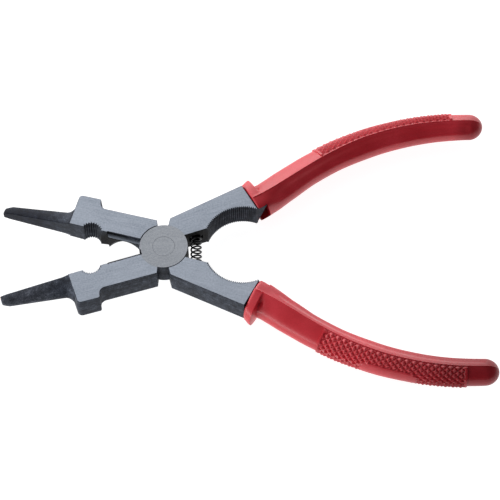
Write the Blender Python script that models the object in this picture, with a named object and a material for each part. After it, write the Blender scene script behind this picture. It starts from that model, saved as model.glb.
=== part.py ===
"""Spring-loaded MIG welding pliers, 200 mm long when closed, lying flat.

Frame: origin on the pivot axis at the back face of the joint. +Z runs along the pivot axis
through the thickness, the jaws point to -X, the handles to +X, and the levers open along Y.
Lengths below are millimetres in the closed lever frame: the front lever's jaw lies at -X
under y = 0 and its handle at +X above y = 0. The back lever is its mirror image in y.
"""

import math

import bmesh
import bpy
from mathutils import Matrix, Vector

MM = 0.001
PAST = 1.0                  # how far a cutter runs on past the surface that it cuts

# Levers
THICKNESS = 10.0            # between the two ground faces
HALF_OPENING = 16.3         # degrees that each lever is turned out at rest
JAW_LINE = -0.5             # y of the jaw's inner faces when the nose tips meet
TIP_LINE = -0.12            # y of the nose's inner face at its tip
LAYER_GAP = 0.3             # between the two halves of the lap joint
DISC_RADIUS = 9.4
SOCKET_RADIUS = 9.7         # in each lever around the other lever's disc
DISC_STEPS = 72
DRAFT = 0.45                # how far forged and toothed flanks lean out from front to back

# Head, cutter and tip notch
HEAD_LEFT, HEAD_RIGHT = -38.0, -29.1
HEAD_DEPTH = 13.7
NECK_END, NECK_DEPTH = -5.7, 10.45
NOTCH_CENTRE, NOTCH_CHORD, NOTCH_RADIUS, NOTCH_TEETH = -28.8, 8.1, 4.45, 10
CUTTER_ENTRY = (-22.8, -22.0)   # x over which the edge slants out from the jaw line to the blade
CUTTER_ENDS = (-22.8, -8.8)
BLADE_REACH = 0.55          # how far each shearing blade crosses the centre plane when shut
SHEAR_PLANE = 8.2
BEVEL_BACK = -0.9           # y where the front blade's bevel meets the front face
RELIEF = -1.0               # y that each lever is cut back to, to clear the other's blade
SCOOP_CENTRE, SCOOP_RADIUS, SCOOP_BACK, SCOOP_TOP = -15.3, 7.7, -3.9, 7.6
SCOOP_STEPS = 48

# Nose: rings of x, depth and half thickness
NOSE_TIP = -65.0
NOSE_FLARE = ((-37.0, 11.6, 4.8), (-37.7, 11.0, 4.75), (-38.6, 9.3, 4.6), (-39.8, 7.4, 4.2))
NOSE_TAPER = ((-42.5, 6.6, 3.85), (-47.0, 6.1, 3.5), (-53.0, 5.35, 3.05), (-62.4, 4.25, 2.3))
NOSE_END = ((-63.6, 3.65, 2.05), (-65.0, 2.6, 1.45))
NOSE_SIDES = 10

# Handle root
SPRING_LINE = 2.2           # y where the inner edge that the spring stands on leaves the disc
ARC_START, ARC_END, ARC_RISE, ARC_TEETH = (17.75, 2.45), (39.2, 4.9), 4.5, 30
FLANGE_OUTER, ROOT_OUTER = (36.5, 16.75), (5.9, 11.15)
TOOTH_DEPTH = 0.55

# Tang and grip
SPINE = ((38.1, 9.5), (57.7, 11.9), (85.2, 33.9), (135.1, 16.6))   # Bezier control points
GRIP_MIDDLE = 4.4           # height of the grip's widest line
GRIP_PROFILE = (            # share of the length, half width outwards, inwards, ridge height
    (0.00, 6.0, 6.7, 6.9),
    (0.08, 7.1, 6.1, 6.9),
    (0.15, 7.3, 5.5, 6.8),
    (0.25, 7.1, 4.9, 6.5),
    (0.36, 6.6, 5.0, 6.4),
    (0.50, 5.9, 5.5, 6.5),
    (0.65, 5.4, 5.5, 6.2),
    (0.85, 5.2, 5.2, 5.6),
    (1.00, 5.0, 4.9, 5.3),
)
GRIP_EDGE = 2.6             # height of the rounded side edges over the widest line
GRIP_BULGE = 0.5            # how far the widest line stands out past those edges
MOUTH_FULL = 2.4            # how much higher the inner edge stands at the mouth
COLLAR_PEAK, COLLAR_LENGTH, COLLAR_WALL = 2.9, 3.9, 0.7
COLLAR_PROUD = (3.1, 4.1)   # at the mouth and at the peak
HEEL = [(4.6, 9.5), (0.9, 0.2)]         # length and height of the steel heel's slanted end
HEEL_SIDES = ((-0.4, 0.0), (0.35, -4.5))        # where each side starts, and how far across it lies
NOTCH = [(4.9, 9.8), (5.7, 3.0), (5.4, 2.0), (1.8, 1.5), (1.8, -3.0)]    # of the grip's mouth round it
NOTCH_SIDES = ((-3.0, 0.3), (-3.0, -9.0))
MOUTH_BLEND = 14.0          # length over which the rings turn from the mouth's slant to square
TANG_START, TANG_POCKET_START, TANG_END = -0.03, -0.02, 0.74     # as shares of the spine
TANG_WIDTH = (5.6, 3.8)
TANG_THICKNESS = 4.8
TANG_SHIFT = 0.9            # from the spine, away from the other lever
TANG_GAP = 0.3
GRIP_START_GAP = 0.3        # from the steel shoulder to the grip's mouth
GRIP_STATIONS = 30
TIP_LENGTH = 5.5

# Rivet
RIVET_RADIUS, RIVET_HEAD_RADIUS, RIVET_HEAD_HEIGHT = 3.0, 4.2, 1.2
RIVET_GAP = 0.08
RIVET_STEPS = 48

# Spring
SPRING_X = 12.3
SPRING_RADIUS = 1.9         # of the wire's centre line
WIRE_RADIUS = 0.34
SPRING_PITCH = 2.0
SPRING_HALF_LENGTH = 7.9
POCKET_RADIUS = 2.75
POCKET_FLOOR = 8.4          # from the centre plane at rest
POCKET_STEPS = 32
POINTS_PER_TURN = 16


def clear_scene():
    for thing in list(bpy.data.objects):
        bpy.data.objects.remove(thing)


def make_material(name, colour, metallic, roughness):
    material = bpy.data.materials.new(name)
    material.use_nodes = True
    shader = material.node_tree.nodes["Principled BSDF"]
    shader.inputs["Base Color"].default_value = (*colour, 1.0)
    shader.inputs["Metallic"].default_value = metallic
    shader.inputs["Roughness"].default_value = roughness
    return material


def finish_mesh(name, bm, material=None):
    """One object from a bmesh in millimetres, with its faces turned outwards."""
    bmesh.ops.recalc_face_normals(bm, faces=bm.faces)
    bmesh.ops.scale(bm, vec=(MM, MM, MM), verts=bm.verts)
    mesh = bpy.data.meshes.new(name)
    bm.to_mesh(mesh)
    bm.free()
    piece = bpy.data.objects.new(name, mesh)
    bpy.context.scene.collection.objects.link(piece)
    if material:
        mesh.materials.append(material)
    return piece


def loft(name, rings, material=None):
    """A closed solid through equal rings of points, capped at both ends."""
    bm = bmesh.new()
    loops = [[bm.verts.new(point) for point in ring] for ring in rings]
    for near, far in zip(loops, loops[1:]):
        for i in range(len(near)):
            j = (i + 1) % len(near)
            bm.faces.new((near[i], near[j], far[j], far[i]))
    bm.faces.new(loops[0])
    bm.faces.new(loops[-1])
    return finish_mesh(name, bm, material)


def prism(name, outline, bottom, top):
    return loft(name, [[(x, y, z) for x, y in outline] for z in (bottom, top)])


def circle(centre, radius, start, end, steps):
    """Points from one angle to another, in degrees, both ends included."""
    angles = [math.radians(start + (end - start) * i / steps) for i in range(steps + 1)]
    return [(centre[0] + radius * math.cos(a), centre[1] + radius * math.sin(a)) for a in angles]


def toothed_arc(start, end, rise, teeth):
    """A saw-toothed circular arc that bulges to the left of the way from start to end."""
    start, end = Vector(start), Vector(end)
    half = (end - start).length / 2
    radius = (half * half + rise * rise) / (2 * rise)
    along = (end - start).normalized()
    left = Vector((-along.y, along.x))
    centre = (start + end) / 2 + left * (rise - radius)
    sweep = math.asin(half / radius)
    points = []
    for i in range(2 * teeth + 1):
        angle = -sweep + sweep * i / teeth
        reach = radius - TOOTH_DEPTH * (i % 2)
        points.append(tuple(centre + along * reach * math.sin(angle) + left * reach * math.cos(angle)))
    return points


def full_circle(centre, radius, steps):
    return circle(centre, radius, 0, 360 * (1 - 1 / steps), steps - 1)


def rounded(outline, corner_radii, steps=4):
    """The outline with the numbered corners rounded."""
    result = []
    for i, corner in enumerate(outline):
        radius = corner_radii.get(i)
        if radius is None:
            result.append(corner)
            continue
        here = Vector(corner)
        before = (Vector(outline[i - 1]) - here).normalized()
        after = (Vector(outline[(i + 1) % len(outline)]) - here).normalized()
        half_angle = before.angle(after) / 2
        centre = here + (before + after).normalized() * radius / math.sin(half_angle)
        first = here + before * radius / math.tan(half_angle) - centre
        turn = first.angle_signed(here + after * radius / math.tan(half_angle) - centre)
        for k in range(steps + 1):
            result.append(tuple(centre + Matrix.Rotation(-turn * k / steps, 2) @ first))
    return result


def lever_outline():
    """The front lever's outline, anticlockwise, and whether a leaning flank starts at each point."""
    inner = JAW_LINE
    neck_low = -NECK_DEPTH
    disc_neck = 239.9
    disc_root = math.degrees(math.asin(SPRING_LINE / DISC_RADIUS)) + 360
    disc_outer = 62.7
    outside = rounded(
        [
            (HEAD_LEFT, inner),
            (HEAD_LEFT + 0.3, -HEAD_DEPTH),
            (HEAD_RIGHT, -HEAD_DEPTH - 0.2),
            (HEAD_RIGHT + 0.6, neck_low + 0.3),
            (NECK_END, neck_low),
        ],
        {1: 1.4, 2: 0.8, 3: 2.6},
    )
    disc_under = circle((0, 0), DISC_RADIUS, disc_neck, disc_root, DISC_STEPS // 3)
    teeth = toothed_arc(ARC_START, ARC_END, ARC_RISE, ARC_TEETH)
    disc_jaw = 180 - math.degrees(math.asin(BLADE_REACH / DISC_RADIUS))
    disc_over = circle((0, 0), DISC_RADIUS, disc_outer, disc_jaw, DISC_STEPS // 3)
    cutter = [(CUTTER_ENTRY[1], BLADE_REACH), (CUTTER_ENTRY[0], inner)]
    rise = NOTCH_RADIUS - math.sqrt(NOTCH_RADIUS**2 - (NOTCH_CHORD / 2) ** 2)
    notch_half = NOTCH_CHORD / 2
    notch = toothed_arc((NOTCH_CENTRE + notch_half, inner), (NOTCH_CENTRE - notch_half, inner), rise, NOTCH_TEETH)
    outline = outside + disc_under + teeth + [FLANGE_OUTER, ROOT_OUTER] + disc_over + cutter + notch
    leaning = outside[:-1] + teeth[:-1] + notch[:-1] + [FLANGE_OUTER]
    return outline, [point in leaning for point in outline]


def lever_rings():
    """The lever's outline at both faces, its forged flanks leaning out to the back, less towards the handles."""
    outline, leaning = lever_outline()
    normals = []
    for i, point in enumerate(outline):
        step = Vector(outline[(i + 1) % len(outline)]) - Vector(point)
        normals.append(Vector((step.y, -step.x)).normalized())
    offsets = [DRAFT * leans * (1 - max(0.0, normal.x) ** 2) for leans, normal in zip(leaning, normals)]
    back = []
    for i, point in enumerate(outline):
        before, after = normals[i - 1], normals[i]
        first, second = offsets[i - 1], offsets[i]
        turn = before.cross(after)
        if abs(turn) < 0.3:
            step = (before + after) / (1 + before.dot(after)) * (first + second) / 2
        else:
            step = Vector((first * after.y - second * before.y, second * before.x - first * after.x)) / turn
        back.append((point[0] + step.x, point[1] + step.y, 0))
    return [back, [(x, y, THICKNESS) for x, y in outline]]


def nose_rings():
    """D-shaped rings from inside the head to the blunt chamfered tip."""
    rings = []
    for x, depth, half in NOSE_FLARE + NOSE_TAPER + NOSE_END:
        line = JAW_LINE + (TIP_LINE - JAW_LINE) * (x - HEAD_LEFT) / (NOSE_TIP - HEAD_LEFT)
        ring = []
        for i in range(NOSE_SIDES + 1):
            angle = math.pi * i / NOSE_SIDES
            ring.append((x, line - depth * math.sin(angle), THICKNESS / 2 + half * math.cos(angle)))
        rings.append(ring)
    return rings


def spine_point(share):
    """A point of the grip's centre line and the direction there, from the flange to the tip."""
    a, b, c, d = (Vector(point) for point in SPINE)
    rest = 1 - share
    point = rest**3 * a + 3 * rest**2 * share * b + 3 * rest * share**2 * c + share**3 * d
    slope = rest**2 * (b - a) + 2 * rest * share * (c - b) + share**2 * (d - c)
    return point, slope.normalized()


def tang_rings(grow, start):
    """Rectangular rings along the spine, for the tang and for the grip's pocket around it."""
    rings = []
    steps = 12
    for i in range(steps + 1):
        share = start + (TANG_END - start) * i / steps
        point, along = spine_point(share)
        if i == steps:
            point = point + along * grow
        side = Vector((-along.y, along.x))
        half = (TANG_WIDTH[0] + (TANG_WIDTH[1] - TANG_WIDTH[0]) * share) / 2 + grow
        high = TANG_THICKNESS / 2 + grow
        ring = []
        for across, up in ((half, high), (half, -high), (-half, -high), (-half, high)):
            corner = point + side * (across + TANG_SHIFT)
            ring.append((corner.x, corner.y, THICKNESS / 2 + up))
        rings.append(ring)
    return rings


def heel_rings(corners, sides):
    """Rings across the lever, for the steel heel in the mouth's notch or for the notch in the grip."""
    point, along = spine_point(0)
    side = Vector((-along.y, along.x))
    rings = []
    for base, across in sides:
        ring = []
        for length, z in [(base, corners[0][1])] + corners + [(base, corners[-1][1])]:
            corner = point + along * length + side * across
            ring.append((corner.x, corner.y, z))
        rings.append(ring)
    return rings


def grip_section(part_way, length):
    """The grip's outline at a station, as (across, up) points from the front ridge over the palm side."""
    for near, far in zip(GRIP_PROFILE, GRIP_PROFILE[1:]):
        if part_way <= far[0]:
            break
    mix = (part_way - near[0]) / (far[0] - near[0])
    out, inn, ridge = (a + (b - a) * mix for a, b in zip(near[1:], far[1:]))
    palm = GRIP_EDGE
    if length <= COLLAR_LENGTH:
        proud = COLLAR_PROUD[0] + (COLLAR_PROUD[1] - COLLAR_PROUD[0]) * min(1.0, length / COLLAR_PEAK)
        out += proud
        palm += 0.45 * proud
    full = GRIP_EDGE + MOUTH_FULL * max(0.0, 1 - length / MOUTH_BLEND)
    low = GRIP_EDGE
    side, slope = 0.55, 0.45        # of the half width and of the drop, where a face bends to its edge
    return [
        (0, ridge),
        (out * side, ridge * (1 - slope) + palm * slope),
        (out - GRIP_BULGE, palm),
        (out, 0),
        (out - GRIP_BULGE, -palm),
        (out * side, -ridge * (1 - slope) - palm * slope),
        (0, -ridge),
        (-inn * side, -ridge * (1 - slope) - low * slope),
        (GRIP_BULGE - inn, -low),
        (-inn, 0),
        (GRIP_BULGE - inn, full),
        (-inn * side, ridge * (1 - slope) + full * slope),
    ]


def grip_rings():
    """Twelve-sided rings with a sharp ridge on each face, from the collar to the round tip."""
    slant = (Vector(FLANGE_OUTER) - Vector(ARC_END)).normalized()
    fine = 400
    samples = [spine_point(i / fine) for i in range(fine + 1)]
    reached = [0.0]
    for (a, _), (b, _) in zip(samples, samples[1:]):
        reached.append(reached[-1] + (b - a).length)
    total = reached[-1]
    smooth = total - TIP_LENGTH
    start = COLLAR_LENGTH + COLLAR_WALL
    body = [GRIP_START_GAP, COLLAR_PEAK, COLLAR_LENGTH]
    body += [start + (smooth - start) * i / GRIP_STATIONS for i in range(GRIP_STATIONS + 1)]
    tip = [smooth + TIP_LENGTH * past for past in (0.25, 0.5, 0.7, 0.85, 0.95, 1.0)]
    rings = []
    for length in body + tip:
        share = next(i for i, value in enumerate(reached) if value >= length - 1e-9) / fine
        point, along = spine_point(share)
        square = Vector((-along.y, along.x))
        side = slant.lerp(square, min(1.0, length / MOUTH_BLEND)).normalized()
        past = max(0.0, (length - smooth) / TIP_LENGTH)
        shrink = max(0.25, math.sqrt(max(0.0, 1 - past * past)))
        ring = []
        for across, up in grip_section(length / total, length):
            corner = point + side * across * shrink
            ring.append((corner.x, corner.y, GRIP_MIDDLE + up * shrink))
        rings.append(ring)
    return rings


def boolean(piece, cutter, operation):
    modifier = piece.modifiers.new(f"{operation.lower()} {cutter.name}", "BOOLEAN")
    modifier.operation = operation
    modifier.object = cutter
    cutter.hide_render = True
    cutter.display_type = "WIRE"


def hold(piece, empty, mirrored):
    """Parents a piece made in the closed frame to its lever's empty."""
    if mirrored:
        piece.data.transform(Matrix.Diagonal((1, -1, 1, 1)))
        piece.data.flip_normals()
    piece.parent = empty


def shade(piece, angle=35):
    piece.data.shade_smooth()
    piece.data.set_sharp_from_angle(angle=math.radians(angle))


def rivet_profile(grow, reach):
    """Radius and height pairs up the rivet, or up its hole when grown."""
    low, high = -reach, THICKNESS + reach
    slant = RIVET_HEAD_HEIGHT
    slope = (RIVET_HEAD_RADIUS - RIVET_RADIUS) / slant
    wide = RIVET_HEAD_RADIUS + grow + slope * reach
    return [
        (wide, low),
        (RIVET_RADIUS + grow, low + slant + reach),
        (RIVET_RADIUS + grow, high - slant - reach),
        (wide, high),
    ]


def turned(name, profile, material=None):
    rings = []
    for radius, z in profile:
        ring = full_circle((0, 0), radius, RIVET_STEPS)
        rings.append([(x, y, z) for x, y in ring])
    return loft(name, rings, material)


def blade_cutter(name, mirrored):
    """What is cut away from the jaw's full thickness to leave one shearing blade."""
    outer, over = BLADE_REACH + PAST, THICKNESS + PAST
    if mirrored:                           # the back blade: everything over the shear plane
        low = SHEAR_PLANE - LAYER_GAP / 2
        section = [(RELIEF, low), (RELIEF, over), (outer, over), (outer, low)]
    else:                                  # the front blade: its bevel, and everything under it
        low = SHEAR_PLANE + LAYER_GAP / 2
        slope = (BLADE_REACH - BEVEL_BACK) / (THICKNESS - low)
        bevel = [(BLADE_REACH, low), (BEVEL_BACK - slope * PAST, over)]
        section = [(RELIEF, -PAST), (RELIEF, low)] + bevel + [(outer, over), (outer, -PAST)]
    return loft(name, [[(x, y, z) for y, z in section] for x in CUTTER_ENDS])


def scoop_cutter(name):
    """The leaning cylinder that hollows a blade from its edge to the back face."""
    rings = []
    for z in (-PAST, SCOOP_TOP + 0.3):
        y = SCOOP_RADIUS + SCOOP_BACK + (BLADE_REACH - SCOOP_BACK) * z / SCOOP_TOP
        ring = full_circle((SCOOP_CENTRE, y), SCOOP_RADIUS, SCOOP_STEPS)
        rings.append([(px, py, z) for px, py in ring])
    return loft(name, rings)


def pocket_cutter(name):
    """The blind hole that seats one end of the spring, straight along Y when the tool is at rest."""
    turn = Matrix.Rotation(-math.radians(HALF_OPENING), 3, "Z")
    ring = full_circle((SPRING_X, THICKNESS / 2), POCKET_RADIUS, POCKET_STEPS)
    return loft(name, [[turn @ Vector((x, y, z)) for x, z in ring] for y in (-PAST, POCKET_FLOOR)])


def build_lever(name, empty, mirrored, material):
    lever = loft(name, lever_rings(), material)
    hold(lever, empty, mirrored)
    middle = THICKNESS / 2
    if mirrored:
        socket = (middle - LAYER_GAP / 2, THICKNESS + PAST)
    else:
        socket = (-PAST, middle + LAYER_GAP / 2)
    disc = full_circle((0, 0), SOCKET_RADIUS, DISC_STEPS)
    tools = [
        (loft(f"{name}_nose", nose_rings()), "UNION"),
        (loft(f"{name}_tang", tang_rings(0.0, TANG_START)), "UNION"),
        (loft(f"{name}_heel", heel_rings(HEEL, HEEL_SIDES)), "UNION"),
        (prism(f"{name}_socket", disc, *socket), "DIFFERENCE"),
        (blade_cutter(f"{name}_relief", mirrored), "DIFFERENCE"),
        (scoop_cutter(f"{name}_scoop"), "DIFFERENCE"),
        (turned(f"{name}_hole", rivet_profile(RIVET_GAP, PAST)), "DIFFERENCE"),
        (pocket_cutter(f"{name}_pocket"), "DIFFERENCE"),
    ]
    for tool, operation in tools:
        hold(tool, empty, mirrored)
        boolean(lever, tool, operation)
    shade(lever)


def build_grip(name, empty, mirrored, material):
    grip = loft(name, grip_rings(), material)
    hold(grip, empty, mirrored)
    pocket = loft(f"{name}_pocket", tang_rings(TANG_GAP, TANG_POCKET_START))
    notch = loft(f"{name}_notch", heel_rings(NOTCH, NOTCH_SIDES))
    for cutter in (pocket, notch):
        hold(cutter, empty, mirrored)
        boolean(grip, cutter, "DIFFERENCE")
    shade(grip, 25)


def build_spring(material):
    """A compression spring along Y, with a flat closed turn at each end."""
    curve = bpy.data.curves.new("return_spring", "CURVE")
    curve.dimensions = "3D"
    curve.bevel_depth = WIRE_RADIUS * MM
    curve.bevel_resolution = 1
    curve.use_fill_caps = True
    closed = 2 * WIRE_RADIUS * 1.15
    active = (2 * SPRING_HALF_LENGTH - 2 * closed) / SPRING_PITCH
    turns = active + 2
    count = round(turns * POINTS_PER_TURN)
    path = curve.splines.new("POLY")
    path.points.add(count)
    for i in range(count + 1):
        turn = turns * i / count
        along = closed * min(turn, 1) + SPRING_PITCH * min(max(turn - 1, 0), active)
        along += closed * max(turn - 1 - active, 0) - SPRING_HALF_LENGTH
        angle = 2 * math.pi * turn
        x = SPRING_X - SPRING_RADIUS * math.cos(angle)
        z = THICKNESS / 2 + SPRING_RADIUS * math.sin(angle)
        path.points[i].co = (x * MM, along * MM, z * MM, 1)
    spring = bpy.data.objects.new("return_spring", curve)
    curve.materials.append(material)
    bpy.context.scene.collection.objects.link(spring)
    return spring


def lever_empty(name, degrees):
    empty = bpy.data.objects.new(name, None)
    empty.rotation_euler.z = math.radians(degrees)
    bpy.context.scene.collection.objects.link(empty)
    return empty


def main():
    clear_scene()
    steel = make_material("forged_steel", (0.33, 0.35, 0.38), 0.9, 0.42)
    red = make_material("red_vinyl", (0.48, 0.025, 0.04), 0.0, 0.35)
    black = make_material("spring_steel", (0.02, 0.02, 0.022), 0.8, 0.4)
    front = lever_empty("front_lever_axis", HALF_OPENING)
    back = lever_empty("back_lever_axis", -HALF_OPENING)
    build_lever("front_lever", front, False, steel)
    build_lever("back_lever", back, True, steel)
    build_grip("front_grip", front, False, red)
    build_grip("back_grip", back, True, red)
    rivet = turned("pivot_rivet", rivet_profile(0.0, 0.0), steel)
    shade(rivet)
    rivet.parent = front
    build_spring(black)


main()
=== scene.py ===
"""Looks of the spring-loaded welding pliers: steel levers, red vinyl grips, return spring and rivet.

Lengths are millimetres in the closed lever frame of the model: the front lever's jaw lies at -X
under y = 0 and its handle at +X over y = 0. The back lever is its mirror image in y, and at rest
each lever is turned out by HALF_OPENING about the pivot axis.
"""

import math

import bmesh
import bpy
from mathutils import Matrix, Vector


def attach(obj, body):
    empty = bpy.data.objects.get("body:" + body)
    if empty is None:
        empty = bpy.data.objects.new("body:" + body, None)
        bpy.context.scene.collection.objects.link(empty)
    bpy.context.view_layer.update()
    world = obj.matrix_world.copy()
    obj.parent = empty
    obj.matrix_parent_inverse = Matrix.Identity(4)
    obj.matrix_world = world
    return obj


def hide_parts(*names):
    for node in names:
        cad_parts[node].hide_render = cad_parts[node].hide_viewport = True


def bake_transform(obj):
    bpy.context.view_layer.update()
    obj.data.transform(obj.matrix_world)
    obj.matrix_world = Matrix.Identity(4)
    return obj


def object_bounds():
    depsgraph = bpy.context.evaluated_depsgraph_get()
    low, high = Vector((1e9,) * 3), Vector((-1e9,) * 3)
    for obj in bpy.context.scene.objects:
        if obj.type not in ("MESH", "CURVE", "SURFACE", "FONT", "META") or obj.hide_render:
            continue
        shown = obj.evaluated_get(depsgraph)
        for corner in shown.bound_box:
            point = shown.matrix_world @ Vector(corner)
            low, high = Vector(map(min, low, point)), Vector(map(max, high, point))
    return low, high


MM = 0.001
PAST = 1.0                  # how far a cutter runs on past the surface that it cuts

# Levers
THICKNESS = 10.0            # between the two ground faces
HALF_OPENING = 16.3         # degrees
JAW_LINE = -0.5             # y of the jaw's inner faces when the nose tips meet
TIP_LINE = -0.12            # y of the nose's inner face at its tip
LAYER_GAP = 0.3             # between the two halves of the lap joint
DISC_RADIUS = 9.4
SOCKET_JAW_RADIUS = 9.65    # on the jaw's side of the other lever's disc
SOCKET_HANDLE_RADIUS = 9.55     # and on the handle's side
JAW_SIDE = 200              # degrees about the pivot to the middle of the jaw's side
DISC_STEPS = 180
EDGE = 0.16                 # chamfer round the ground faces
DRAFT = 0.45                # how far forged and toothed flanks lean out from front to back
SWELL = 0.25                # how far a forged flank swells at mid thickness
FLANK_LEVELS = (0.25, 0.5, 0.75)

# Head, cutter and tip notch
HEAD_LEFT, HEAD_RIGHT = -38.0, -29.1
HEAD_DEPTH = 13.7
HEAD_ROUND = {1: 1.4, 2: 0.8, 3: 2.6}   # radius of each numbered corner outside the head
NECK_END, NECK_DEPTH = -5.7, 10.45
NOTCH_CENTRE, NOTCH_CHORD, NOTCH_RADIUS, NOTCH_TEETH = -28.8, 8.1, 4.45, 10
CUTTER_ENTRY = (-22.8, -22.0)   # x over which the edge slants out from the jaw line to the blade
CUTTER_ENDS = (-22.8, -8.8)
LAND_ENDS = (-23.4, -8.4)   # x within which the back blade has a ground land on the shear plane
BLADE_REACH = 0.55          # how far each shearing blade crosses the centre plane when shut
SHEAR_PLANE = 8.2
BEVEL_BACK = -0.9           # y where the front blade's bevel meets the front face
RELIEF = -1.0               # y that each lever is cut back to, to clear the other's blade
SCOOP_CENTRE, SCOOP_RADIUS, SCOOP_BACK, SCOOP_TOP = -15.3, 7.7, -3.9, 7.6
SCOOP_STEPS = 120

# Nose: rings of x, depth and half thickness
NOSE_TIP = -65.0
NOSE_FLARE = ((-37.0, 11.6, 4.8), (-37.7, 11.0, 4.75), (-38.2, 10.2, 4.7), (-38.6, 9.3, 4.6))
NOSE_FLARE += ((-39.1, 8.3, 4.45), (-39.8, 7.4, 4.2), (-40.8, 6.85, 3.98), (-42.5, 6.6, 3.85))
NOSE_TAPER = ((-47.0, 6.1, 3.5), (-53.0, 5.35, 3.05), (-59.0, 4.65, 2.55), (-62.4, 4.25, 2.3))
NOSE_END = ((-63.6, 3.65, 2.05), (-64.7, 3.05, 1.8), (-65.0, 2.6, 1.45))
NOSE_SIDES, NOSE_CHAMFER = 28, 0.3
NOSE_PAINTED_SPAN = (-48.0, -38.0)  # x at rest over which the skin blends into the nose's painted highlight on the front lever and painted shade on the back
NOSE_PAINTED_LIGHT, NOSE_PAINTED_SHADE = (1.8, 1.7, 1.6), (0.35, 0.35, 0.42)   # factors on the nose's colour there: painted highlight on the front lever, painted shade on the back
EDGE_AT_REST = (-19.0, 6.0, 3.0)        # near the nose end of the back lever's cutting edge, the centre of painted shade in the cutter's hollow
SEAT_SHADE_REACH, EDGE_SHADE_REACH = (8.0, 11.5), (5.5, 8.5)    # painted shade: distances from the spring and from that point, over which it fades

# Handle root
SPRING_LINE = 2.2           # y where the inner edge that the spring stands on leaves the disc
ARC_START, ARC_END, ARC_RISE, ARC_TEETH = (17.75, 2.45), (39.2, 4.9), 4.5, 30
FLANGE_OUTER, ROOT_OUTER = (36.5, 16.75), (5.9, 11.15)
TOOTH_DEPTH = 0.55
TOOTH_LAND = 0.3            # share of the pitch

# Tang and grip
SPINE = ((38.1, 9.5), (57.7, 11.9), (85.2, 33.9), (135.1, 16.6))   # Bezier control points
GRIP_MIDDLE = 4.4           # height of the grip's widest line
GRIP_PROFILE = (            # share of the length, half width outwards, inwards, ridge height
    (0.00, 6.0, 6.7, 6.9),
    (0.08, 7.1, 6.1, 6.9),
    (0.15, 7.3, 5.5, 6.8),
    (0.25, 7.1, 4.9, 6.5),
    (0.36, 6.6, 5.0, 6.4),
    (0.50, 5.9, 5.5, 6.5),
    (0.65, 5.4, 5.5, 6.2),
    (0.85, 5.2, 5.2, 5.6),
    (1.00, 5.0, 4.9, 5.3),
)
GRIP_EDGE = 2.6
MOUTH_FULL = 2.4            # how much higher the inner edge stands at the mouth
RIDGE_ROUND = 0.35
PARTING_LINE = 0.2          # height of the mould's parting line along each ridge
COLLAR_PEAK, COLLAR_LENGTH, COLLAR_WALL, COLLAR_FILLET = 2.9, 3.9, 0.7, 3.5
COLLAR_PROUD, COLLAR_LEAN = (3.1, 4.1), 0.1     # how proud at the mouth and at the peak, and its slant
COLLAR_EDGE = 0.45          # how much the palm's edge rises for each millimetre that the collar is proud
DIMPLE_DEPTH, DIMPLE_LENGTH = 1.0, 1.2      # the hollow behind the collar, under each ridge
DIMPLE_PLACE, DIMPLE_WIDTH = 0.22, 0.08     # as shares of the way round the palm
MOUTH_BLEND = 14.0          # length over which the rings turn from the mouth's slant to square
MOUTH_GAP = 0.45
MOUTH_CHAMFER, MOUTH_SHRINK = 0.3, 0.95     # its length, and the size of the ring that starts it
HEEL = [(4.6, 9.5), (0.9, 0.2)]         # length and height of the steel heel's slanted end
HEEL_SIDES = ((-0.4, 0.0), (0.35, -4.5))        # where each side starts, and how far across it lies
NOTCH = [(4.9, 9.8), (5.7, 3.0), (5.4, 2.0), (1.8, 1.5), (1.8, -3.0)]    # of the grip's mouth round it
NOTCH_SIDES = ((-3.0, 0.3), (-3.0, -9.0))
TANG_START, TANG_POCKET_START, TANG_END = -0.03, -0.02, 0.74     # as shares of the spine
TANG_WIDTH = (5.6, 3.8)
TANG_THICKNESS = 4.8
TANG_SHIFT = 0.9            # from the spine, away from the other lever
TANG_GAP = 0.3
TIP_LENGTH = 5.5
CHANNEL_DEPTH = 0.55        # of the long hollows on the grip's inner side
CHANNEL_START, CHANNEL_STOP = (5.0, 12.0), (4.5, 7.5)   # where they fade, from the mouth and the tip
CHANNEL_RIDGE, CHANNEL_EDGE = (0.12, 0.4), (0.76, 0.45)     # and by share of the way to the widest line
KNURL_START, KNURL_PITCH, KNURL_CELLS = 32.6, 2.70, 20
KNURL_END = KNURL_START + KNURL_PITCH * KNURL_CELLS
KNURL_ROWS = 8              # diamonds from ridge to ridge over the palm side
KNURL_HEIGHT, KNURL_TOP = 0.68, 0.95        # of a diamond, and how far up its slopes it is cut off flat
KNURL_MARGIN = (0.018, 0.042)       # shares of the palm side over which it rises beside each ridge
RIB_WIDTH, RIB_HEIGHT, RIB_FOOT = 0.75, 0.48, 0.12      # the plain rib at each end of the knurl
# How far each grip's rings slide towards its tip, as pairs of length along the spine and slide
FRONT_SLIDES = ((0.0, 0.0), (9.0, 0.0), (KNURL_START, 1.7), (KNURL_END, 1.2), (104.0, 1.0))
BACK_SLIDES = ((0.0, 0.0), (104.0, 0.0))
PATCH_START, PATCH_END, PATCH_HALF = 49.0, 69.5, 0.2        # the smooth oval in the knurl
PATCH_BORDER, PATCH_HEIGHT = (1.15, 0.9), 0.7               # its edge, and its share of the knurl's height
SAMPLES = 8                 # mesh points for each diamond, both ways
INNER_SAMPLES = 20          # mesh points from a ridge to the widest line on the inner side
TIP = (121.0, 52.0, GRIP_MIDDLE)        # near the front grip's tip, at rest
TIP_SHADE_BACK, TIP_SHADE_FRONT = (4.0, 48.0), (2.0, 8.0)   # painted shade at each tip: distances from it over which the shade fades

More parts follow.
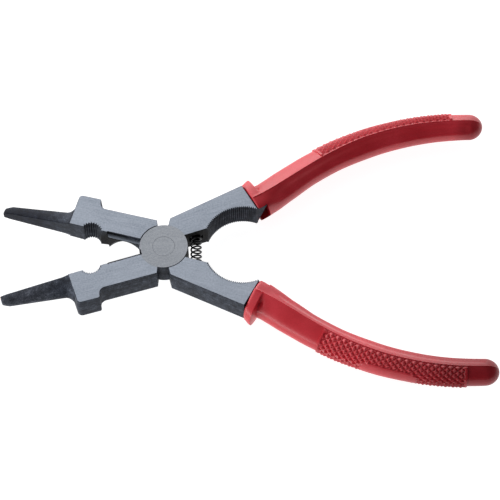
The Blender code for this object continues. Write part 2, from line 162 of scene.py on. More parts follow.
# Rivet and spring
RIVET_RADIUS, RIVET_HEAD_RADIUS, RIVET_HEAD_HEIGHT = 3.0, 4.2, 1.2
RIVET_GAP = 0.04
RIVET_STEPS = 96
SPRING_X = 12.3
SPRING_RADIUS = 1.9         # of the wire's centre line
WIRE_RADIUS = 0.34
SPRING_PITCH = 2.0
SPRING_HALF_LENGTH = 7.9
CLOSED_LOOSENESS = 1.15     # pitch of each closed end turn, in wire widths
POCKET_RADIUS = 2.75
POCKET_FLOOR = 8.4          # from the centre plane at rest
POCKET_STEPS = 64
POINTS_PER_TURN = 40
WIRE_SIDES = 14

# Camera, floor and light, in metres and degrees
CAMERA_AIM = (0.03302, -0.00253, 0.010)
CAMERA_AZIMUTH, CAMERA_ELEVATION, CAMERA_ROLL = 0.293, 60.594, -1.587
CAMERA_DISTANCE = 0.8703
CAMERA_LENS, SENSOR = 164.04, 36.0


# ---------------------------------------------------------------- shapes

def circle(centre, radius, start, end, steps):
    """Points from one angle to another, in degrees, both ends included."""
    angles = [math.radians(start + (end - start) * i / steps) for i in range(steps + 1)]
    return [(centre[0] + radius * math.cos(a), centre[1] + radius * math.sin(a)) for a in angles]


def full_circle(centre, radius, steps):
    return circle(centre, radius, 0, 360 * (1 - 1 / steps), steps - 1)


def toothed_arc(start, end, rise, teeth):
    """A circular arc with flat-topped teeth that bulges to the left of the way from start to end."""
    start, end = Vector(start), Vector(end)
    half = (end - start).length / 2
    radius = (half * half + rise * rise) / (2 * rise)
    along = (end - start).normalized()
    left = Vector((-along.y, along.x))
    centre = (start + end) / 2 + left * (rise - radius)
    sweep = math.asin(half / radius)
    land = (1 - TOOTH_LAND) / 2, (1 + TOOTH_LAND) / 2
    points = []
    for tooth in range(teeth):
        for part, height in ((0.0, 0.0), (land[0], TOOTH_DEPTH), (land[1], TOOTH_DEPTH)):
            angle = -sweep + 2 * sweep * (tooth + part) / teeth
            reach = radius - height
            points.append(tuple(centre + along * reach * math.sin(angle) + left * reach * math.cos(angle)))
    return points + [tuple(end)]


def rounded(outline, corner_radii, steps=8):
    """The outline with the numbered corners rounded."""
    result = []
    for i, corner in enumerate(outline):
        radius = corner_radii.get(i)
        if radius is None:
            result.append(corner)
            continue
        here = Vector(corner)
        before = (Vector(outline[i - 1]) - here).normalized()
        after = (Vector(outline[(i + 1) % len(outline)]) - here).normalized()
        half_angle = before.angle(after) / 2
        centre = here + (before + after).normalized() * radius / math.sin(half_angle)
        first = here + before * radius / math.tan(half_angle) - centre
        turn = first.angle_signed(here + after * radius / math.tan(half_angle) - centre)
        for k in range(steps + 1):
            result.append(tuple(centre + Matrix.Rotation(-turn * k / steps, 2) @ first))
    return result


def lever_outline():
    """The front lever's outline, anticlockwise, and the kind of flank that starts at each point."""
    inner = JAW_LINE
    neck_low = -NECK_DEPTH
    disc_neck = 239.9
    disc_root = math.degrees(math.asin(SPRING_LINE / DISC_RADIUS)) + 360
    disc_outer = 62.7
    outside = rounded(
        [
            (HEAD_LEFT, inner),
            (HEAD_LEFT + 0.3, -HEAD_DEPTH),
            (HEAD_RIGHT, -HEAD_DEPTH - 0.2),
            (HEAD_RIGHT + 0.6, neck_low + 0.3),
            (NECK_END, neck_low),
        ],
        HEAD_ROUND,
    )
    disc_under = circle((0, 0), DISC_RADIUS, disc_neck, disc_root, DISC_STEPS // 3)
    teeth = toothed_arc(ARC_START, ARC_END, ARC_RISE, ARC_TEETH)
    disc_jaw = 180 - math.degrees(math.asin(BLADE_REACH / DISC_RADIUS))
    disc_over = circle((0, 0), DISC_RADIUS, disc_outer, disc_jaw, DISC_STEPS // 3)
    cutter = [(CUTTER_ENTRY[1], BLADE_REACH), (CUTTER_ENTRY[0], inner)]
    rise = NOTCH_RADIUS - math.sqrt(NOTCH_RADIUS**2 - (NOTCH_CHORD / 2) ** 2)
    notch_half = NOTCH_CHORD / 2
    notch_ends = (NOTCH_CENTRE + notch_half, inner), (NOTCH_CENTRE - notch_half, inner)
    notch = toothed_arc(*notch_ends, rise, NOTCH_TEETH)
    outline = outside + disc_under + teeth + [FLANGE_OUTER, ROOT_OUTER] + disc_over + cutter + notch
    kinds = []
    for point in outline:
        if point in outside[:-1] or point == FLANGE_OUTER:
            kinds.append("forged")
        else:
            kinds.append("toothed" if point in teeth[:-1] + notch[:-1] else "flat")
    return outline, kinds


def edge_normals(outline):
    """The outward unit normal of the edge that starts at each point of an anticlockwise outline."""
    normals = []
    for i, point in enumerate(outline):
        step = Vector(outline[(i + 1) % len(outline)]) - Vector(point)
        normals.append(Vector((step.y, -step.x)).normalized())
    return normals


def corner_step(before, after, first, second):
    """The step that takes a corner's two edges, with these normals, out by these distances."""
    turn = before.cross(after)
    if abs(turn) < 0.3:
        return (before + after) / (1 + before.dot(after)) * (first + second) / 2
    return Vector((first * after.y - second * before.y, second * before.x - first * after.x)) / turn


def flank_offset(kind, normal, share):
    """How far a flank stands out of the outline at a share of the height, less where it faces +X."""
    draft = 0.0 if kind == "flat" else DRAFT * (1 - share)
    swell = 4 * SWELL * share * (1 - share) if kind == "forged" else 0.0
    return (draft + swell) * (1 - max(0.0, normal.x) ** 2) - (EDGE if share in (0.0, 1.0) else 0.0)


def lever_rings():
    """The lever's outline at each height, its face edges chamfered and its flanks leaning and swelling."""
    outline, kinds = lever_outline()
    normals = edge_normals(outline)
    heights = [0.0, EDGE] + [THICKNESS * share for share in FLANK_LEVELS] + [THICKNESS - EDGE, THICKNESS]
    rings = []
    for z in heights:
        offsets = [flank_offset(kind, normal, z / THICKNESS) for kind, normal in zip(kinds, normals)]
        ring = []
        for i, point in enumerate(outline):
            step = corner_step(normals[i - 1], normals[i], offsets[i - 1], offsets[i])
            ring.append((point[0] + step.x, point[1] + step.y, z))
        rings.append(ring)
    return rings


def nose_rings():
    """D-shaped rings from inside the head to the blunt chamfered tip."""
    rings = []
    for x, depth, half in NOSE_FLARE + NOSE_TAPER + NOSE_END:
        line = JAW_LINE + (TIP_LINE - JAW_LINE) * (x - HEAD_LEFT) / (NOSE_TIP - HEAD_LEFT)
        flat = half - NOSE_CHAMFER
        ring = [(x, line, THICKNESS / 2 - flat), (x, line, THICKNESS / 2 + flat)]
        for i in range(NOSE_SIDES + 1):
            angle = math.pi * i / NOSE_SIDES
            y = line - max(NOSE_CHAMFER, depth * math.sin(angle))
            ring.append((x, y, THICKNESS / 2 + half * math.cos(angle)))
        rings.append(ring)
    return rings


def spine_point(share):
    """A point of the grip's centre line and the direction there, from the flange to the tip."""
    a, b, c, d = (Vector(point) for point in SPINE)
    rest = 1 - share
    point = rest**3 * a + 3 * rest**2 * share * b + 3 * rest * share**2 * c + share**3 * d
    slope = rest**2 * (b - a) + 2 * rest * share * (c - b) + share**2 * (d - c)
    return point, slope.normalized()


def tang_rings(grow, start):
    """Rectangular rings along the spine, for the tang and for the grip's pocket around it."""
    rings = []
    steps = 24
    for i in range(steps + 1):
        share = start + (TANG_END - start) * i / steps
        point, along = spine_point(share)
        if i == steps:
            point = point + along * grow
        side = Vector((-along.y, along.x))
        half = (TANG_WIDTH[0] + (TANG_WIDTH[1] - TANG_WIDTH[0]) * share) / 2 + grow
        high = TANG_THICKNESS / 2 + grow
        ring = []
        for across, up in ((half, high), (half, -high), (-half, -high), (-half, high)):
            corner = point + side * (across + TANG_SHIFT)
            ring.append((corner.x, corner.y, THICKNESS / 2 + up))
        rings.append(ring)
    return rings


def heel_rings(corners, sides):
    """Rings across the lever, for the steel heel in the mouth's notch or for the notch in the grip."""
    point, along = spine_point(0)
    side = Vector((-along.y, along.x))
    rings = []
    for base, across in sides:
        ring = []
        for length, z in [(base, corners[0][1])] + corners + [(base, corners[-1][1])]:
            corner = point + along * length + side * across
            ring.append((corner.x, corner.y, z))
        rings.append(ring)
    return rings


def make_object(name, bm):
    """One object from a bmesh in millimetres, with its faces turned outwards."""
    bmesh.ops.recalc_face_normals(bm, faces=bm.faces)
    mesh = bpy.data.meshes.new(name)
    bm.to_mesh(mesh)
    bm.free()
    piece = bpy.data.objects.new(name, mesh)
    bpy.context.scene.collection.objects.link(piece)
    return piece


def loft(name, rings):
    """A closed solid through equal rings of points, capped at both ends."""
    bm = bmesh.new()
    loops = [[bm.verts.new(point) for point in ring] for ring in rings]
    for near, far in zip(loops, loops[1:]):
        for i in range(len(near)):
            j = (i + 1) % len(near)
            bm.faces.new((near[i], near[j], far[j], far[i]))
    bm.faces.new(loops[0])
    bm.faces.new(loops[-1])
    return make_object(name, bm)


def turned(name, profile, steps=RIVET_STEPS):
    """A solid of revolution about the pivot axis, from pairs of radius and height."""
    rings = []
    for radius, z in profile:
        rings.append([(x, y, z) for x, y in full_circle((0, 0), radius, steps)])
    return loft(name, rings)


def carve(piece, tools):
    """Joins or cuts each tool in turn, keeps the result as the piece's mesh and drops the tools."""
    for tool, operation in tools:
        modifier = piece.modifiers.new(tool.name, "BOOLEAN")
        modifier.operation = operation
        modifier.object = tool
    graph = bpy.context.evaluated_depsgraph_get()
    mesh = bpy.data.meshes.new_from_object(piece.evaluated_get(graph))
    piece.modifiers.clear()
    piece.data = mesh
    for tool, _ in tools:
        bpy.data.objects.remove(tool)


def place(piece, mirrored, angle=HALF_OPENING):
    """Moves a mesh in millimetres from the closed lever frame to where it is at rest, in metres."""
    turn = Matrix.Rotation(math.radians(angle), 4, "Z")
    if mirrored:
        turn = Matrix.Diagonal((1, -1, 1, 1)) @ turn
    piece.data.transform(Matrix.Scale(MM, 4) @ turn)
    if mirrored:
        piece.data.flip_normals()


def shade(piece, angle):
    piece.data.shade_smooth()
    piece.data.set_sharp_from_angle(angle=math.radians(angle))


# ---------------------------------------------------------------- levers

def socket_cutter(name, mirrored):
    """What clears the other lever's disc, closer on the handle's side than on the jaw's."""
    outline = []
    for x, y in full_circle((0, 0), 1, DISC_STEPS):
        near_jaw = math.cos(math.atan2(y, x) - math.radians(JAW_SIDE)) > 0
        radius = SOCKET_JAW_RADIUS if near_jaw else SOCKET_HANDLE_RADIUS
        outline.append((x * radius, y * radius))
    middle = THICKNESS / 2
    levels = (middle - LAYER_GAP / 2, THICKNESS + PAST) if mirrored else (-PAST, middle + LAYER_GAP / 2)
    return loft(name, [[(x, y, z) for x, y in outline] for z in levels])


def blade_cutter(name, mirrored):
    """What is cut away from the jaw's full thickness to leave one shearing blade."""
    outer, over = BLADE_REACH + PAST, THICKNESS + PAST
    if mirrored:                           # the back blade: everything over the shear plane
        low = SHEAR_PLANE - LAYER_GAP / 2
        section = [(RELIEF, low), (RELIEF, over), (outer, over), (outer, low)]
    else:                                  # the front blade: its bevel, and everything under it
        low = SHEAR_PLANE + LAYER_GAP / 2
        slope = (BLADE_REACH - BEVEL_BACK) / (THICKNESS - low)
        bevel = [(BLADE_REACH, low), (BEVEL_BACK - slope * PAST, over)]
        section = [(RELIEF, -PAST), (RELIEF, low)] + bevel + [(outer, over), (outer, -PAST)]
    return loft(name, [[(x, y, z) for y, z in section] for x in CUTTER_ENDS])


def scoop_cutter(name):
    """The leaning cylinder that hollows a blade from its edge to the back face."""
    rings = []
    for z in (-PAST, SCOOP_TOP + 0.3):
        y = SCOOP_RADIUS + SCOOP_BACK + (BLADE_REACH - SCOOP_BACK) * z / SCOOP_TOP
        ring = full_circle((SCOOP_CENTRE, y), SCOOP_RADIUS, SCOOP_STEPS)
        rings.append([(px, py, z) for px, py in ring])
    return loft(name, rings)


def pocket_cutter(name):
    """The blind hole that seats one end of the spring, straight along Y when the tool is at rest."""
    turn = Matrix.Rotation(-math.radians(HALF_OPENING), 3, "Z")
    ring = full_circle((SPRING_X, THICKNESS / 2), POCKET_RADIUS, POCKET_STEPS)
    return loft(name, [[turn @ Vector((x, y, z)) for x, z in ring] for y in (-2.0, POCKET_FLOOR)])


def hole_profile():
    """Radius and height pairs up the rivet's countersunk hole."""
    slope = (RIVET_HEAD_RADIUS - RIVET_RADIUS) / RIVET_HEAD_HEIGHT
    wide = RIVET_HEAD_RADIUS + RIVET_GAP + slope * PAST
    narrow = RIVET_RADIUS + RIVET_GAP
    low, high = RIVET_HEAD_HEIGHT, THICKNESS - RIVET_HEAD_HEIGHT
    return [(wide, -PAST), (narrow, low), (narrow, high), (wide, THICKNESS + PAST)]


def paint_lever(lever, mirrored):
    """Gives the ground faces the lever's second material: both flat sides and the cutter's land."""
    for face in lever.data.polygons:
        x, _, z = face.center
        up = face.normal.z
        flat = abs(up) > 0.98 and (z > THICKNESS - EDGE / 2 or z < EDGE / 2)
        land = mirrored and up > 0.98 and LAND_ENDS[0] < x < LAND_ENDS[1] and z > SHEAR_PLANE - 1
        face.material_index = 1 if flat or land else 0


def build_lever(name, node, body, mirrored, materials):
    lever = loft(name, lever_rings())
    carve(
        lever,
        [
            (loft(f"{name}_nose", nose_rings()), "UNION"),
            (loft(f"{name}_tang", tang_rings(0.0, TANG_START)), "UNION"),
            (loft(f"{name}_heel", heel_rings(HEEL, HEEL_SIDES)), "UNION"),
            (socket_cutter(f"{name}_socket", mirrored), "DIFFERENCE"),
            (blade_cutter(f"{name}_blade", mirrored), "DIFFERENCE"),
            (scoop_cutter(f"{name}_scoop"), "DIFFERENCE"),
            (turned(f"{name}_hole", hole_profile()), "DIFFERENCE"),
            (pocket_cutter(f"{name}_pocket"), "DIFFERENCE"),
        ],
    )
    lever.data.materials.clear()
    for material in materials:
        lever.data.materials.append(material)
    paint_lever(lever, mirrored)
    place(lever, mirrored)
    shade(lever, 28)
    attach(lever, body)
    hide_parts(node)


# ---------------------------------------------------------------- grips

def smooth_step(low, high, value):
    share = min(1.0, max(0.0, (value - low) / (high - low)))
    return share * share * (3 - 2 * share)


def profile_at(share):
    """Half width outwards, half width inwards and ridge height at a share of the grip's length."""
    for near, far in zip(GRIP_PROFILE, GRIP_PROFILE[1:]):
        if share <= far[0]:
            break
    mix = smooth_step(near[0], far[0], share) * 0.5 + 0.5 * (share - near[0]) / (far[0] - near[0])
    return [a + (b - a) * mix for a, b in zip(near[1:], far[1:])]


def quadrant(width, ridge, edge, shares):
    """Points (across, up) from the ridge to the widest line, at these shares of its length."""
    across, drop = 0.53 * width, 0.42 * (ridge - edge)
    corners = ((0, ridge), (across, ridge - drop), (width, 1.3 * edge), (width, 0))
    fine = 60
    points = []
    for i in range(fine + 1):
        t = i / fine
        rest = 1 - t
        weights = (rest**3, 3 * rest * rest * t, 3 * rest * t * t, t**3)
        points.append(sum((Vector(c) * w for c, w in zip(corners, weights)), Vector((0, 0))))
    lengths = [0.0]
    for a, b in zip(points, points[1:]):
        lengths.append(lengths[-1] + (b - a).length)
    result = []
    i = 1
    for share in shares:
        wanted = share * lengths[-1]
        while i < fine and lengths[i] < wanted:
            i += 1
        mix = (wanted - lengths[i - 1]) / (lengths[i] - lengths[i - 1])
        point = points[i - 1].lerp(points[i], mix)
        point.y -= drop / across * (math.hypot(point.x, RIDGE_ROUND) - point.x)
        result.append(point)
    return result


def collar_amount(length):
    """1 on the collar, falling steeply at its back wall, with a small fillet after it."""
    if length <= COLLAR_LENGTH:
        return 1.0
    wall = smooth_step(COLLAR_LENGTH + COLLAR_WALL, COLLAR_LENGTH, length)
    fillet = smooth_step(COLLAR_LENGTH + COLLAR_FILLET, COLLAR_LENGTH, length)
    return (0.9 * wall + 0.1) * fillet


def triangle(value):
    """0 in a groove, 1 midway between two grooves that are 1 apart."""
    return 1 - abs(2 * (value % 1.0) - 1)


def knurl(length, around):
    """Height of the diamond knurl, its end ribs and the smooth patch, over the palm side."""
    if not KNURL_START - RIB_WIDTH < length < KNURL_END + RIB_WIDTH:
        return 0.0
    border = smooth_step(*KNURL_MARGIN, min(around, 1 - around))
    if length <= KNURL_START or length >= KNURL_END:
        return RIB_HEIGHT * border
    a = (length - KNURL_START) / KNURL_PITCH
    b = around * KNURL_ROWS
    diamond = min(1.0, min(triangle(a + b), triangle(a - b)) / KNURL_TOP)
    middle, half = (PATCH_START + PATCH_END) / 2, (PATCH_END - PATCH_START) / 2
    oval = ((length - middle) / half) ** 4 + ((around - 0.5) / PATCH_HALF) ** 4
    patch = smooth_step(*PATCH_BORDER, oval)
    return KNURL_HEIGHT * border * (diamond * (1 - patch) + PATCH_HEIGHT * patch)


def channel(length, total, share):
    """Depth of the long hollow on the inner side, at a share of the way from ridge to widest line."""
    along = smooth_step(*CHANNEL_START, length) * smooth_step(*CHANNEL_STOP, total - length)
    across = smooth_step(*CHANNEL_RIDGE, share) * smooth_step(*CHANNEL_EDGE, share)
    return CHANNEL_DEPTH * along * across


def grip_lengths(total):
    """Where the grip's rings stand along its spine, close together where there is detail."""
    back = COLLAR_LENGTH + COLLAR_WALL
    lengths = [MOUTH_GAP, MOUTH_GAP + MOUTH_CHAMFER, 1.6, 2.6, COLLAR_LENGTH - 0.25]
    lengths += [COLLAR_LENGTH + COLLAR_WALL * i / 6 for i in range(7)]
    lengths += [back + 0.3 * i for i in range(1, 14)]
    start = lengths[-1]
    smooth = KNURL_START - RIB_WIDTH - RIB_FOOT
    steps = round(smooth - start)
    lengths += [start + (smooth - start) * i / steps for i in range(1, steps + 1)]
    rib = (0.1, RIB_WIDTH / 2, RIB_WIDTH - 0.02)
    lengths += [KNURL_START - step for step in reversed(rib)]
    lengths += [KNURL_START + KNURL_PITCH * i / SAMPLES for i in range(1, KNURL_CELLS * SAMPLES)]
    lengths += [KNURL_END + step for step in rib] + [KNURL_END + RIB_WIDTH + RIB_FOOT]
    start, smooth = lengths[-1], total - TIP_LENGTH
    steps = round((smooth - start) / 0.6)
    lengths += [start + (smooth - start) * i / steps for i in range(1, steps + 1)]
    tip_steps = 16
    rises = [math.sin(math.pi / 2 * i / tip_steps) for i in range(1, tip_steps + 1)]
    lengths += [smooth + TIP_LENGTH * rise for rise in rises]
    return lengths


def grip_section(length, total):
    """The grip's outline at a station, as (across, up) points from the front ridge over the palm side."""
    out, inn, ridge = profile_at(length / total)
    flare = min(1.0, length / COLLAR_PEAK)
    proud = (COLLAR_PROUD[0] + (COLLAR_PROUD[1] - COLLAR_PROUD[0]) * flare) * collar_amount(length)
    half_rows = KNURL_ROWS * SAMPLES // 2
    shares = [i / half_rows for i in range(half_rows + 1)]
    outer = quadrant(out + proud, ridge, GRIP_EDGE + COLLAR_EDGE * proud, shares)
    palm = outer + [Vector((p.x, -p.y)) for p in reversed(outer[:-1])]
    lean = COLLAR_LEAN * flare * collar_amount(length) / (out + proud)
    palm = [Vector((p.x * (1 - lean * p.y), p.y)) for p in palm]
    near = [(i / INNER_SAMPLES) ** 1.25 for i in range(1, INNER_SAMPLES + 1)]
    full = MOUTH_FULL * smooth_step(MOUTH_BLEND, 2.0, length)
    low = [Vector((-p.x, -p.y)) for p in quadrant(inn, ridge, GRIP_EDGE, near)]
    high = [Vector((-p.x, p.y)) for p in reversed(quadrant(inn, ridge, GRIP_EDGE + full, near)[:-1])]
    ring = palm + low + high
    count = len(ring)
    moved = []
    for i, point in enumerate(ring):
        slope = ring[(i + 1) % count] - ring[i - 1]
        normal = Vector((-slope.y, slope.x)).normalized()
        if i < len(palm):
            around = i / (len(palm) - 1)
            rise = knurl(length, around)
            past = (length - COLLAR_LENGTH - COLLAR_WALL) / DIMPLE_LENGTH
            beside = (min(around, 1 - around) - DIMPLE_PLACE) / DIMPLE_WIDTH
            rise -= DIMPLE_DEPTH * math.exp(-past * past - beside * beside) * (length > COLLAR_LENGTH)
            rise += PARTING_LINE * (around in (0.0, 1.0))
        else:
            k = i - len(palm)
            share = near[k] if k < len(near) else near[len(near) - 2 - (k - len(near))]
            rise = -channel(length, total, share)
        moved.append(point + normal * rise)
    return moved


def slide_at(length, slides):
    """How far the ring at a length slides along the spine, from pairs of length and slide."""
    for (start, low), (end, high) in zip(slides, slides[1:]):
        if length <= end:
            break
    return low + (high - low) * smooth_step(start, end, length)


def grip_rings(slides):
    """Rings from the collar's mouth to the round tip."""
    slant = (Vector(FLANGE_OUTER) - Vector(ARC_END)).normalized()
    fine, past_tip = 2000, 60
    samples = [spine_point(i / fine) for i in range(fine + past_tip)]
    reached = [0.0]
    for (a, _), (b, _) in zip(samples, samples[1:]):
        reached.append(reached[-1] + (b - a).length)
    total = reached[fine]
    rings = []
    i = 1
    for length in grip_lengths(total):
        placed = length + slide_at(length, slides)
        while reached[i] < placed:
            i += 1
        mix = (placed - reached[i - 1]) / (reached[i] - reached[i - 1])
        point, along = spine_point((i - 1 + mix) / fine)
        square = Vector((-along.y, along.x))
        side = slant.lerp(square, min(1.0, length / MOUTH_BLEND)).normalized()
        past = max(0.0, (length - total + TIP_LENGTH) / TIP_LENGTH)
        shrink = max(0.03, math.sqrt(max(0.0, 1 - past * past)))
        if length == MOUTH_GAP:
            shrink = MOUTH_SHRINK
        ring = []
        for across, up in grip_section(length, total):
            corner = point + side * across * shrink
            ring.append((corner.x, corner.y, GRIP_MIDDLE + up * shrink))
        rings.append(ring)
    return rings


def grip_mesh(name, rings):
    """The grip's solid, each quad split along its lower diagonal so that the knurl's grooves stay sharp."""
    bm = bmesh.new()
    loops = []
    for ring in rings:
        centre = sum((Vector(point) for point in ring), Vector()) / len(ring)
        loops.append([(bm.verts.new(point), (Vector(point) - centre).length) for point in ring])
    for near, far in zip(loops, loops[1:]):
        for i in range(len(near)):
            j = (i + 1) % len(near)
            (a, a_high), (b, b_high), (c, c_high), (d, d_high) = near[i], near[j], far[j], far[i]
            if a_high + c_high < b_high + d_high:
                bm.faces.new((a, b, c))
                bm.faces.new((a, c, d))
            else:
                bm.faces.new((a, b, d))
                bm.faces.new((b, c, d))
    for loop in (loops[0], loops[-1]):
        bm.faces.new([vertex for vertex, _ in loop])
    return make_object(name, bm)


def build_grip(name, node, body, mirrored, material):
    grip = grip_mesh(name, grip_rings(BACK_SLIDES if mirrored else FRONT_SLIDES))
    carve(
        grip,
        [
            (loft(f"{name}_pocket", tang_rings(TANG_GAP, TANG_POCKET_START)), "DIFFERENCE"),
            (loft(f"{name}_mouth", heel_rings(NOTCH, NOTCH_SIDES)), "DIFFERENCE"),
        ],
    )
    grip.data.materials.clear()
    grip.data.materials.append(material)
    place(grip, mirrored)
    shade(grip, 50)
    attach(grip, body)
    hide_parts(node)


# ---------------------------------------------------------------- rivet and spring

def build_rivet(material):
    """The ground rivet, with a small bevel round each end."""
    radius, top = RIVET_HEAD_RADIUS, THICKNESS
    slope = (RIVET_HEAD_RADIUS - RIVET_RADIUS) / RIVET_HEAD_HEIGHT
    bevel = 0.03
    half = [
        (0.05, top),
        (radius - 2 * bevel, top),
        (radius - bevel * slope, top - bevel),
        (RIVET_RADIUS, top - RIVET_HEAD_HEIGHT),
    ]
    profile = half + [(r, THICKNESS - z) for r, z in reversed(half)]
    rivet = turned("rivet_ground", profile)
    rivet.data.materials.append(material)
    place(rivet, False, 0)
    shade(rivet, 28)
    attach(rivet, "front_half")
    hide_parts("pivot_rivet")


def spring_path():
    """Points of the wire's centre line: a compression spring along Y with a closed turn at each end."""
    closed = 2 * WIRE_RADIUS * CLOSED_LOOSENESS
    active = (2 * SPRING_HALF_LENGTH - 2 * closed) / SPRING_PITCH
    turns = active + 2
    count = round(turns * POINTS_PER_TURN)
    points = []
    for i in range(count + 1):
        turn = turns * i / count
        along = closed * min(turn, 1) + SPRING_PITCH * min(max(turn - 1, 0), active)
        along += closed * max(turn - 1 - active, 0) - SPRING_HALF_LENGTH
        angle = 2 * math.pi * turn
        x = SPRING_X - SPRING_RADIUS * math.cos(angle)
        z = THICKNESS / 2 + SPRING_RADIUS * math.sin(angle)
        points.append(Vector((x, along, z)))
    return points


def build_spring(material):
    path = spring_path()
    rings = []
    for i, point in enumerate(path):
        along = (path[min(i + 1, len(path) - 1)] - path[max(i - 1, 0)]).normalized()
        out = Vector((point.x - SPRING_X, 0, point.z - THICKNESS / 2)).normalized()
        over = along.cross(out).normalized()
        out = over.cross(along)
        ring = []
        for k in range(WIRE_SIDES):
            angle = 2 * math.pi * k / WIRE_SIDES
            ring.append(point + (out * math.cos(angle) + over * math.sin(angle)) * WIRE_RADIUS)
        rings.append(ring)
    spring = loft("spring_coil", rings)
    spring.data.materials.append(material)
    place(spring, False, 0)
    shade(spring, 40)
    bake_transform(spring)
    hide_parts("return_spring")


# ---------------------------------------------------------------- materials

def add_node(tree, kind, inputs=None, **settings):
    """A shader node with its settings, and its inputs set to a value or linked to an output."""
    node = tree.nodes.new(kind)
    for key, value in settings.items():
        setattr(node, key, value)
    for key, value in (inputs or {}).items():
        if isinstance(value, bpy.types.NodeSocket):
            tree.links.new(value, node.inputs[key])
        else:
            node.inputs[key].default_value = value
    return node


def start_material(name, metallic, roughness):
    material = bpy.data.materials.new(name)
    material.use_nodes = True
    shader = material.node_tree.nodes["Principled BSDF"]
    shader.inputs["Metallic"].default_value = metallic
    shader.inputs["Roughness"].default_value = roughness
    return material, material.node_tree, shader


def stretched(tree, place_vector, scale, angle=0.0):
    """The coordinates turned by an angle about Z and then scaled, for grain along the lever."""
    turn = add_node(tree, "ShaderNodeMapping", {"Vector": place_vector, "Rotation": (0, 0, angle)})
    return add_node(tree, "ShaderNodeMapping", {"Vector": turn.outputs[0], "Scale": scale}).outputs[0]


def noise(tree, vector, scale, detail=3.0, roughness=0.55):
    inputs = {"Vector": vector, "Scale": scale, "Detail": detail, "Roughness": roughness}
    return add_node(tree, "ShaderNodeTexNoise", inputs).outputs["Fac"]


def ramp(tree, value, stops):
    """A colour ramp from pairs of position and colour."""
    node = add_node(tree, "ShaderNodeValToRGB", {"Fac": value})
    elements = node.color_ramp.elements
    while len(elements) < len(stops):
        elements.new(0.5)
    for element, (position, colour) in zip(elements, stops):
        element.position = position
        element.color = (*colour, 1.0)
    return node.outputs["Color"]


def remap(tree, value, low, high, start=0.0, end=1.0):
    """The value's stretch from start to end laid over low to high."""
    inputs = {"Value": value, "From Min": start, "From Max": end, "To Min": low, "To Max": high}
    return add_node(tree, "ShaderNodeMapRange", inputs).outputs[0]


def math_node(tree, operation, first, second):
    return add_node(tree, "ShaderNodeMath", {0: first, 1: second}, operation=operation).outputs[0]


def blended(tree, parts):
    """The sum of pairs of value and weight."""
    total = math_node(tree, "MULTIPLY", *parts[0])
    for value, weight in parts[1:]:
        total = math_node(tree, "ADD", total, math_node(tree, "MULTIPLY", value, weight))
    return total


def mix_value(tree, share, first, second):
    node = add_node(tree, "ShaderNodeMix", data_type="FLOAT")
    for socket, value in ((node.inputs[0], share), (node.inputs[2], first), (node.inputs[3], second)):
        tree.links.new(value, socket)
    return node.outputs[0]


def mix_colour(tree, share, first, second, blend="MIX"):
    node = add_node(tree, "ShaderNodeMix", data_type="RGBA", blend_type=blend)
    for socket, value in ((node.inputs[0], share), (node.inputs[6], first), (node.inputs[7], second)):
        if isinstance(value, bpy.types.NodeSocket):
            tree.links.new(value, socket)
        else:
            socket.default_value = value
    return node.outputs[2]


def bump(tree, height, distance, strength, normal=None):
    inputs = {"Height": height, "Distance": distance, "Strength": strength}
    if normal is not None:
        inputs["Normal"] = normal
    return add_node(tree, "ShaderNodeBump", inputs).outputs[0]


def ground_steel(name, angle):
    """Surface-ground steel: grinding lines along the lever, turned rings on the joint's disc."""
    material, tree, shader = start_material(name, 0.75, 0.45)
    place_vector = add_node(tree, "ShaderNodeTexCoord").outputs["Object"]
    lines = noise(tree, stretched(tree, place_vector, (150, 7000, 150), angle), 1.0, 4.0, 0.6)
    broad = noise(tree, stretched(tree, place_vector, (60, 900, 60), angle), 1.0, 3.0, 0.5)
    flat = add_node(tree, "ShaderNodeVectorMath", {0: place_vector, 1: (1, 1, 0)}, operation="MULTIPLY")
    reach = add_node(tree, "ShaderNodeVectorMath", {0: flat.outputs[0]}, operation="LENGTH")
    radius = reach.outputs["Value"]
    turns = math_node(tree, "MULTIPLY", radius, 6000.0)
    inputs = {"W": turns, "Scale": 1.0, "Detail": 3.0}
    rings = add_node(tree, "ShaderNodeTexNoise", inputs, noise_dimensions="1D")
    on_disc = math_node(tree, "LESS_THAN", radius, DISC_RADIUS * MM)
    scratch = mix_value(tree, on_disc, lines, rings.outputs["Fac"])
    speckle = noise(tree, place_vector, 1500.0, 2.0, 0.6)
    cloud = noise(tree, place_vector, 90.0, 3.0, 0.5)
    tone = blended(tree, ((scratch, 0.42), (cloud, 0.15), (broad, 0.11), (speckle, 0.32)))
    arm_stops = ((0.35, (0.24, 0.272, 0.315)), (0.5, (0.35, 0.388, 0.445)), (0.65, (0.46, 0.50, 0.56)))
    disc_stops = ((0.35, (0.235, 0.25, 0.265)), (0.5, (0.335, 0.355, 0.38)), (0.65, (0.44, 0.455, 0.48)))
    arm = ramp(tree, tone, arm_stops)
    disc = ramp(tree, tone, disc_stops)
    tree.links.new(mix_colour(tree, on_disc, arm, disc), shader.inputs["Base Color"])
    tree.links.new(remap(tree, scratch, 0.36, 0.54, 0.3, 0.7), shader.inputs["Roughness"])
    tree.links.new(bump(tree, scratch, 0.00003, 0.35), shader.inputs["Normal"])
    return material


def nearness(tree, place_vector, centre, inside, outside):
    """1 near a point in millimetres, falling to 0 between two distances from it."""
    point = tuple(value * MM for value in centre)
    distance = add_node(tree, "ShaderNodeVectorMath", {0: place_vector, 1: point}, operation="DISTANCE")
    return remap(tree, distance.outputs["Value"], 1.0, 0.0, inside * MM, outside * MM)


